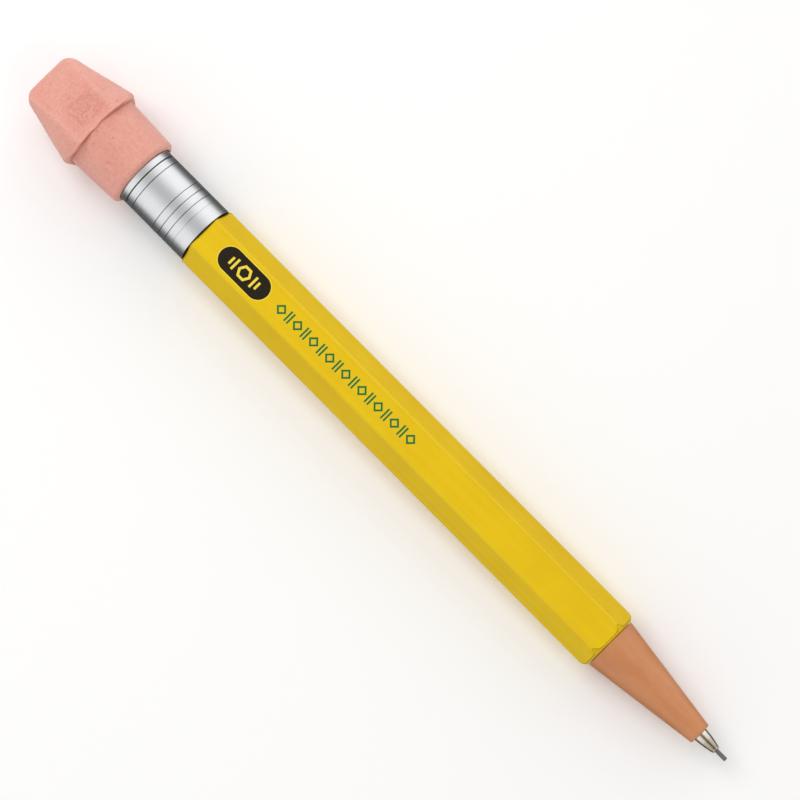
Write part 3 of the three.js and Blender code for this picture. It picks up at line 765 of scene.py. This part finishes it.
def nose():
    cone_rear = BARREL_FRONT + NOSE_TO_BARREL
    socket = NOSE_END - NOSE_SOCKET_LENGTH
    passage = socket - NOSE_PASSAGE_LENGTH
    outline = rounded(
        [
            (NOSE_REAR, NOSE_BORE, 0.0),
            (NOSE_REAR, NOSE_SPIGOT, 0.4),
            (cone_rear, NOSE_SPIGOT, 0.0),
            (cone_rear, NOSE_BASE, 0.06),
            (NOSE_END, NOSE_TIP, 0.22),
            (NOSE_END, NOSE_SOCKET_MOUTH, 0.08),
            (socket, NOSE_SOCKET, 0.0),
            (socket, NOSE_PASSAGE, 0.0),
            (passage, NOSE_PASSAGE, 0.0),
            (passage, NOSE_BORE, 0.0),
        ],
        closed=True,
    )
    return turned("nose_shell", outline)


def limited(share):
    """The share, kept between 0 and 1."""
    return min(max(share, 0), 1)


def tip():
    face = NOSE_END + TIP_TO_NOSE
    outline = rounded(
        [
            (TIP_REAR, TIP_CHAMBER, 0.0),
            (TIP_REAR, TIP_SPIGOT, 0.1),
            (face, TIP_SPIGOT, 0.0),
            (face, TIP_BASE, 0.04),
            (face + TIP_SHOULDER_AT, TIP_SHOULDER, 0.12),
            (face + TIP_NECK_AT, TIP_NECK, 0.3),
            (TIP_END, TIP_FRONT, 0.2),
            (TIP_END, TIP_MOUTH, 0.03),
            (face + TIP_CHAMBER_END, TIP_MOUTH, 0.0),
            (face + TIP_CHAMBER_END, TIP_CHAMBER, 0.0),
        ],
        closed=True,
    )
    made = turned("tip_shell", outline, count=TIP_SIDES)
    # Painted shade on the taper, faded in behind the shoulder and out before the end.
    taper_shade = []
    for x, r in outline:
        begun = limited((x - face - TIP_SHOULDER_AT + SHADE_BEHIND_SHOULDER) / SHADE_FADE_IN)
        left = limited((TIP_END - SHADE_BEHIND_END - x) / SHADE_FADE_OUT)
        taper_shade += [begun * left] * TIP_SIDES
    stored(made, "taper_shade", taper_shade)
    return made


def lead():
    outline = rounded(
        [
            (LEAD_REAR, 0.0, 0.0),
            (LEAD_REAR, LEAD_RADIUS, 0.04),
            (LEAD_END - LEAD_POINT_LENGTH, LEAD_RADIUS, 0.06),
            (LEAD_END, LEAD_POINT_RADIUS, 0.05),
            (LEAD_END, 0.0, 0.0),
        ]
    )
    return turned("lead_rod", outline, closed=False, count=LEAD_SIDES)


graphite_finish = graphite()
finish_piece(nose(), "barrel", ["nose_cone"], nose_plastic())
finish_piece(tip(), "barrel", ["metal_tip"], tip_metal())
finish_piece(lead(), "feed", ["writing_lead"], graphite_finish)

# ---------------------------------------------------------------------------------------------------
# Ferrule: fine rolled lines near the barrel, deeper crimp grooves near the eraser

FERRULE_RADIUS = 5.35
FERRULE_BORE = 4.95
FERRULE_ERASER_BORE = 4.78
FERRULE_SIDES = 160
LINE_STEP = 1.4
FIRST_LINE = 2.8
LINE_COUNT = 4
FIRST_GROOVE = 11.65
GROOVE_COUNT = 5

# Notches, as (half width, depth). The first of each kind is finer than the others.
FINE_LINE = (0.07, 0.02)
LINE = (0.09, 0.06)
FINE_GROOVE = (0.1, 0.07)
GROOVE = (0.13, 0.14)

# Painted shade darkens the lines and grooves on the outside, which is all that lies beyond OUTSIDE_FROM; it
# is darker the deeper they sink, and full at the depth set below.
OUTSIDE_FROM = 5.1
GROOVE_SHADE_DEPTH = 0.1


def ferrule():
    corners = [
        (FERRULE_FRONT, FERRULE_BORE, 0.0),
        (FERRULE_FRONT, FERRULE_RADIUS, 0.07),
    ]
    for first, count, fine, usual in (
        (FIRST_LINE, LINE_COUNT, FINE_LINE, LINE),
        (FIRST_GROOVE, GROOVE_COUNT, FINE_GROOVE, GROOVE),
    ):
        for k in range(count):
            half_width, depth = usual if k else fine
            middle = BARREL_REAR - (first + k * LINE_STEP)
            corners.append((middle + half_width, FERRULE_RADIUS, 0.03))
            corners.append((middle, FERRULE_RADIUS - depth, 0.02))
            corners.append((middle - half_width, FERRULE_RADIUS, 0.03))
    corners.append((FERRULE_REAR, FERRULE_RADIUS, 0.22))
    corners.append((FERRULE_REAR, FERRULE_ERASER_BORE, 0.08))
    corners.append((PLUG_FOOT, FERRULE_ERASER_BORE, 0.0))
    corners.append((PLUG_FOOT, FERRULE_BORE, 0.0))
    outline = rounded(corners, closed=True, steps=4)
    made = turned("ferrule_shell", outline, count=FERRULE_SIDES)
    # Painted shade in the lines and grooves, darker the deeper they sink.
    sunk = [FERRULE_RADIUS - r if r > OUTSIDE_FROM else 0.0 for x, r in outline]
    groove_shade = np.clip(np.array(sunk) / GROOVE_SHADE_DEPTH, 0, 1)
    stored(made, "groove_shade", np.repeat(groove_shade, FERRULE_SIDES))
    return made


finish_piece(ferrule(), "drive", ["ferrule"], ferrule_aluminium())

# ---------------------------------------------------------------------------------------------------
# Plain eraser under the cap

PLUG_RADIUS = 4.68


def plug():
    outline = rounded(
        [
            (PLUG_TOP, 0.0, 0.0),
            (PLUG_TOP, PLUG_RADIUS, 0.7),
            (PLUG_FOOT, PLUG_RADIUS, 0.3),
            (PLUG_FOOT, 0.0, 0.0),
        ]
    )
    return turned("plain_eraser", outline, closed=False)


plug_rubber = eraser_rubber("plug_rubber", linear(233, 168, 152), linear(225, 152, 136)).material
finish_piece(plug(), "eraser_plug", ["end_eraser"], plug_rubber)

# ---------------------------------------------------------------------------------------------------
# Cap eraser: a sleeve, and a cone whose upper and lower side are cut flat. A height is a distance from the
# flange, positive towards the top. In directions (y, z) round the axis, y is 1 or -1 at the two sides.

CAP_SIDES = 360
CAP_SPACING = 0.2
CAP_ROUND_STEPS = 14
CAP_HEAD = 13.25
CAP_FLANGE = CAP_TOP + CAP_HEAD
CAP_SLEEVE = CAP_MOUTH - CAP_FLANGE
CAP_SLOPE = math.tan(math.radians(13.5))
CAP_FLANGE_SHARP = 8.09
CAP_FLANGE_BELOW = 0.05
CAP_TOP_SHARP = CAP_FLANGE_SHARP - CAP_HEAD * CAP_SLOPE
CAP_TOP_ROUND = 2.3
CAP_SLEEVE_MOUTH = 6.42
CAP_MOUTH_ROUND = 0.9
CAP_HALF_THICKNESS = 6.9
CAP_WEDGE_FROM = -0.3
CAP_WEDGE_START = 6.95
CAP_WEDGE_SLOPE = 0.2
CAP_WEDGE_CURVE = 0.0137
CAP_RIDGE_ROUND = 1.0
CAP_END_ROUND = 1.0

# Corners of the outline where the flange meets the sleeve: height, radius, round
CAP_CREASE = (0.08, 6.58, 0.05)
CAP_SLEEVE_ROOT = (-0.25, 6.78, 0.12)

# The flange is crisp above and below, and rounder at the sides. The power of y keeps the change there.
CAP_CRISP_ROUND = 0.45
CAP_FULL_ROUND = 1.05
CAP_SIDE_POWER = 6

# Hole for the ferrule and the plain eraser, the gaps behind them, and a ring on the hole's flat end
CAP_BORE = 5.4
CAP_PLUG_BORE = 4.75
CAP_BORE_GAP = 0.15
CAP_PLUG_GAP = 0.2
CAP_HOLE_END_RING = 0.6

# Rings across the flat top, as shares of its outermost ring
CROWN_SHARES = (0.02, 0.25, 0.5, 0.75, 0.92)

# The surface waves by this much, in long and in short waves. Noise round the axis is read from one slice.
LONG_WAVE = 0.05
SHORT_WAVE = 0.02
WAVE_SCALE = 0.35
NOISE_SLICE = 4.0

# The crease under the flange is partly filled, unevenly, and open at these places, (y, reach).
CAP_OPEN_CREASE = ((0.58, 0.5), (-0.4, 0.3), (-0.97, 0.2))
CREASE_REACH = 0.35
CREASE_FILL = 0.22

# The flange wanders along the axis, and lies further towards the top at the sides. What is shifted with
# it: middle and reach, as heights
FLANGE_ZONE = (0.1, 1.7)
FLANGE_SIDE_SHIFT = 0.25

# Wear on the ridges between cone and flat faces, by how far the cone stands out, (middle, reach), and the
# share of it that the flange, the mouth and the top get
RIDGE_WEAR = (0.1, 0.5)
EDGE_WEAR = 0.6

# Painted shade in the fold of the crease, as heights (middle, reach), and how much of it the filling hides
FOLD_SHADE = (0.05, 0.22)
FOLD_HIDDEN = 0.8

# Ovals of the mould mark on the upper face and at the flange: height, half height, half width
MARK = (3.7, 3.0, 4.0)
MARK_AT_FLANGE = (-0.6, 1.1, 2.6)
MARK_Y = 0.7
MARK_FULL_WITHIN = 0.75
MARK_ENDS_AT = 1.5
MARK_DEPTH = 0.05
FAINT_MARK = 0.5


def half_thickness(height):
    """Half the distance between the two slightly bowed faces, rounded over at the top."""
    up = max(height, 0.0)
    thickness = CAP_WEDGE_START - CAP_WEDGE_SLOPE * up - CAP_WEDGE_CURVE * up**2
    past = height - (CAP_HEAD - CAP_END_ROUND)
    if past > 0:
        thickness -= CAP_END_ROUND - math.sqrt(max(CAP_END_ROUND**2 - past**2, 0.0))
    return thickness


def bump_up(value, middle, reach):
    """1 at the middle, falling smoothly to 0 at a distance of reach."""
    share = max(0.0, 1 - abs(value - middle) / reach)
    return share * share * (3 - 2 * share)


def oval(height, y, middle, half_height, half_width):
    """1 inside a squarish oval, falling softly to 0 outside its edge."""
    reach = (abs((height - middle) / half_height) ** 4 + abs((y - MARK_Y) / half_width) ** 4) ** 0.25
    return bump_up(reach, 0.0, MARK_ENDS_AT) if reach > MARK_FULL_WITHIN else 1.0


def cap_outline(flange_round):
    """Points (height, radius) from the top, down the cone, over the flange and along the sleeve."""
    corners = [
        (CAP_HEAD, 0.0, 0.0),
        (CAP_HEAD, CAP_TOP_SHARP, CAP_TOP_ROUND),
        (-CAP_FLANGE_BELOW, CAP_FLANGE_SHARP, flange_round),
        CAP_CREASE,
        CAP_SLEEVE_ROOT,
        (-CAP_SLEEVE, CAP_SLEEVE_MOUTH, CAP_MOUTH_ROUND),
        (-CAP_SLEEVE, CAP_BORE, 0.0),
    ]
    return rounded(corners, steps=CAP_ROUND_STEPS)[2:]


def spaced_pairs(crisp, full):
    """Matching points of two outlines, with more between them where the first one's stretches are long."""
    pairs = []
    for here, there, here_full, there_full in zip(crisp, crisp[1:], full, full[1:]):
        pieces = max(math.ceil((there - here).length / CAP_SPACING), 1)
        for k in range(pieces):
            pairs.append((here.lerp(there, k / pieces), here_full.lerp(there_full, k / pieces)))
    return pairs


def worn_edges(height):
    """1 on the flange, at the sleeve's mouth and at the top, falling to 0 away from them."""
    return bump_up(height, 0.3, 0.5) + bump_up(height, -CAP_SLEEVE, 0.6) + bump_up(height, CAP_HEAD, 0.7)


def waviness(height, y, z):
    """How much the moulding wanders from its drawn radius: long waves and short ones."""
    where = Vector((height * WAVE_SCALE, y * WAVE_SCALE, z * WAVE_SCALE))
    return LONG_WAVE * noise.noise(where) + SHORT_WAVE * noise.noise(where * 4)


def crease_filling(y, around):
    """Share to which the crease under the flange is filled, in a direction round the axis."""
    opened = max(bump_up(y, middle, reach) for middle, reach in CAP_OPEN_CREASE)
    return 1 - 0.5 * opened - 0.3 * noise.noise(around * 3)


def flange_shift(y, around):
    """How far the flange is moved towards the mouth, or towards the top where this is negative."""
    ragged = 0.26 * noise.noise(around * 1.9) + 0.1 * noise.noise(around * 6)
    return ragged - FLANGE_SIDE_SHIFT * y**CAP_SIDE_POWER


def cap():
    directions = circle(CAP_SIDES)
    rings, worn, mark, fold_shade = [], [], [], []
    for crisp_point, full_point in spaced_pairs(cap_outline(CAP_CRISP_ROUND), cap_outline(CAP_FULL_ROUND)):
        ring = []
        for y, z in directions:
            height, radius = crisp_point.lerp(full_point, y**CAP_SIDE_POWER)
            around = Vector((y, z, NOISE_SLICE))
            filled = crease_filling(y, around)
            upper = 1.0 if z > 0 else 0.0
            r = radius
            ridge = 0.0
            if height > CAP_WEDGE_FROM:
                cut = half_thickness(height) / max(abs(z), 1e-3)
                r = softly_less(radius, cut, CAP_RIDGE_ROUND)
                ridge = bump_up(cut - radius, *RIDGE_WEAR)
            r += waviness(height, r * y, r * z)
            r += CREASE_FILL * bump_up(height, 0.0, CREASE_REACH) * filled
            sunk = upper * oval(height, r * y, *MARK)
            r = min(r - MARK_DEPTH * sunk, CAP_RADIUS)
            x = CAP_FLANGE - height + bump_up(height, *FLANGE_ZONE) * flange_shift(y, around)
            up = min(max(r * z, -CAP_HALF_THICKNESS), CAP_HALF_THICKNESS)
            ring.append((x, r * y, AXIS + up))
            worn.append(min(ridge + EDGE_WEAR * worn_edges(height), 1.0))
            mark.append(max(sunk, FAINT_MARK * upper * oval(height, r * y, *MARK_AT_FLANGE)))
            fold_shade.append(bump_up(height, *FOLD_SHADE) * (1 - FOLD_HIDDEN * filled))
        rings.append(ring)
    crown = []
    for share in CROWN_SHARES:
        crown.append([(x, y * share, AXIS + (z - AXIS) * share) for x, y, z in rings[0]])
    bore_step = FERRULE_REAR - CAP_BORE_GAP
    bore_end = PLUG_TOP - CAP_PLUG_GAP
    hole = [
        (bore_step, CAP_BORE),
        (bore_step, CAP_PLUG_BORE),
        (bore_end, CAP_PLUG_BORE),
        (bore_end, CAP_HOLE_END_RING),
    ]
    inside = [[(x, r * y, AXIS + r * z) for y, z in directions] for x, r in hole]
    made = mesh_of_rings("cap_rubber_block", crown + rings + inside, fan_start=True, fan_end=True)
    for name, values in (("worn", worn), ("mark", mark), ("fold_shade", fold_shade)):
        stored(made, name, values, first=len(crown) * len(directions))
    return made


finish_piece(cap(), "cap", ["cap_eraser"], cap_rubber())

# ---------------------------------------------------------------------------------------------------
# Inner pieces keep their CAD shape and get their finishes

brass = plain_metal("inner_brass", linear(205, 170, 100), linear(176, 138, 74), 0.3)
steel = plain_metal("inner_steel", linear(190, 192, 196), linear(150, 152, 158), 0.3)
acetal = plain_plastic("inner_acetal", linear(238, 236, 228), linear(224, 221, 210), 0.4)
grey_plastic = plain_plastic("inner_grey", linear(124, 127, 131), linear(104, 107, 112), 0.5)
seal = plain_plastic("inner_seal", linear(46, 46, 47), linear(32, 32, 33), 0.6)
INNER = {
    "guide_tube": brass,
    "lead_claw": brass,
    "thrust_washer": steel,
    "spring_clip": steel,
    "push_rod": steel,
    "rear_bearing": acetal,
    "front_bearing": acetal,
    "helix_sleeve": acetal,
    "lead_carrier": acetal,
    "ferrule_core": grey_plastic,
    "spindle_tube": grey_plastic,
    "drag_ring": seal,
    "lead_retainer": seal,
    "spare_lead_1": graphite_finish,
    "spare_lead_2": graphite_finish,
    "spare_lead_3": graphite_finish,
}
for name, material in INNER.items():
    for slot in frame["nodes"][name].material_slots:
        slot.material = material

# ---------------------------------------------------------------------------------------------------
# Studio: a pale floor that touches the cap's flange and the barrel's front edge, soft lights, and the
# camera above the printed flat


# The floor's half width and its gap under the pencil are in metres. FLOOR_MEETS_BARREL is how far behind the
# barrel's front end it touches.
FLOOR_SIZE = 4.0
FLOOR_GAP = 0.00002
FLOOR_MEETS_BARREL = 0.3

# The direction to the camera, its distance in metres, and how steeply the pencil points down in the picture
CAMERA_BACK = (0.0958, -0.047, 0.994)
CAMERA_DISTANCE = 0.5127
CAMERA_LENS = 144.2
CAMERA_SENSOR = 36
PENCIL_DROP_DEG = 45.17
AIM_ALONG = 0.6
AIM_ACROSS = 3.58


def floor():
    """Touches the lowest line of the cap's flange and the barrel's lower flat near its front end."""
    rear = Vector((CAP_FLANGE * MM, 0, 0))
    front = Vector(((BARREL_FRONT - FLOOR_MEETS_BARREL) * MM, 0, barrel_low.z))
    tilt = math.atan2(front.z - rear.z, front.x - rear.x)
    mesh = bpy.data.meshes.new("floor")
    corners = [(x * FLOOR_SIZE, y * FLOOR_SIZE, 0) for x, y in ((-1, -1), (1, -1), (1, 1), (-1, 1))]
    mesh.from_pydata(corners, [], [(0, 1, 2, 3)])
    made = bpy.data.objects.new("floor", mesh)
    bpy.context.scene.collection.objects.link(made)
    made.rotation_euler = (0, -tilt, 0)
    made.location = rear - Vector((0, 0, FLOOR_GAP))
    made.data.materials.append(floor_paper())
    made.visible_glossy = False


def area_light(name, place, size, power):
    """A square soft light aimed at the pencil, which isn't mirrored in it."""
    data = bpy.data.lights.new(name, "AREA")
    data.energy = power
    data.size = size
    lamp = bpy.data.objects.new(name, data)
    bpy.context.scene.collection.objects.link(lamp)
    lamp.location = place
    lamp.rotation_euler = (-Vector(place)).to_track_quat("-Z", "Y").to_euler()
    lamp.visible_glossy = False


def camera():
    """Looks down on the printed flat, from a little towards the tip, with the pencil on the diagonal."""
    back = Vector(CAMERA_BACK).normalized()
    along = (Vector((1, 0, 0)) - back * back.x).normalized()
    across = back.cross(along)
    drop = math.radians(PENCIL_DROP_DEG)
    right = along * math.cos(drop) + across * math.sin(drop)
    up = across * math.cos(drop) - along * math.sin(drop)
    target = Vector((AIM_ALONG * MM, 0, AXIS * MM)) + across * AIM_ACROSS * MM
    data = bpy.data.cameras.new("camera")
    data.sensor_width = CAMERA_SENSOR
    data.lens = CAMERA_LENS
    data.clip_start = 0.01
    data.clip_end = 10
    made = bpy.data.objects.new("camera", data)
    bpy.context.scene.collection.objects.link(made)
    rotation = Matrix((right, up, back)).transposed()
    made.matrix_world = Matrix.Translation(target + back * CAMERA_DISTANCE) @ rotation.to_4x4()
    bpy.context.scene.camera = made


# Brightness round the axis, as (share of the height from straight below to straight above, level)
STUDIO_STOPS = (
    (0.0, 0.13),
    (0.2, 0.07),
    (0.36, 0.26),
    (0.475, 0.88),
    (0.6, 0.98),
    (0.75, 1.0),
    (0.87, 0.94),
    (0.93, 0.8),
    (0.965, 0.67),
    (1.0, 0.54),
)
STUDIO_STRENGTH = 1.14
SIDE_LEVELS = (0.83, 0.98)
END_LEVEL = 0.27
END_POWER = 1.5
MIDDLE_SHIFT = 0.05
STRIP_HEIGHTS = (0.955, 0.993)
STRIP_X = (0.1, 0.22)
STRIP_FULL = 0.9


def world():
    """Studio surroundings: two long soft lights beside the pencil, laid out by the angle round its axis.
    Between them, overhead, is the darker gap that the camera looks through. It is dark below the horizon,
    and darker towards the ends of the pencil than beside its middle. A dark brown strip hangs overhead,
    towards the tip."""
    made = bpy.data.worlds.new("studio")
    made.use_nodes = True
    g = Graph(made.node_tree)
    direction = g.nodes.new("ShaderNodeTexCoord").outputs["Generated"]
    split = g.nodes.new("ShaderNodeSeparateXYZ")
    g.links.new(direction, split.inputs["Vector"])
    x, y, z = (split.outputs[key] for key in "XYZ")
    off_axis = g.math("POWER", g.math("ADD", g.math("MULTIPLY", y, y), g.math("MULTIPLY", z, z)), 0.5)
    height = g.share(g.math("DIVIDE", z, off_axis), -1, 1)
    ramp = g.nodes.new("ShaderNodeValToRGB")
    while len(ramp.color_ramp.elements) < len(STUDIO_STOPS):
        ramp.color_ramp.elements.new(0.5)
    for element, (share, level) in zip(ramp.color_ramp.elements, STUDIO_STOPS):
        element.position = share
        element.color = (level, level, level, 1)
    g.links.new(height, ramp.inputs["Fac"])
    side = g.remap(g.math("DIVIDE", y, off_axis), -1, 1, *SIDE_LEVELS)
    from_middle = g.math("ABSOLUTE", g.math("ADD", x, MIDDLE_SHIFT))
    ends = g.remap(g.math("POWER", from_middle, END_POWER), 0, 1, 1, END_LEVEL)
    level = g.math("MULTIPLY", ramp.outputs["Color"], g.math("MULTIPLY", side, ends))
    strip = g.math("MULTIPLY", g.share(height, *STRIP_HEIGHTS), g.remap(x, *STRIP_X, 0, STRIP_FULL))
    g.links.new(g.blend(strip, level, linear(110, 93, 68)), g.nodes["Background"].inputs["Color"])
    g.nodes["Background"].inputs["Strength"].default_value = STUDIO_STRENGTH
    bpy.context.scene.world = made


floor()
camera()
world()
area_light("key", place=(-0.2, 0.85, 0.55), size=0.9, power=0.9)
area_light("rear_top", place=(-0.4, 0, 0.5), size=0.4, power=1.75)
area_light("front_top", place=(0.7, 0, 0.7), size=0.5, power=1.6)
bpy.context.scene.view_settings.view_transform = "Standard"
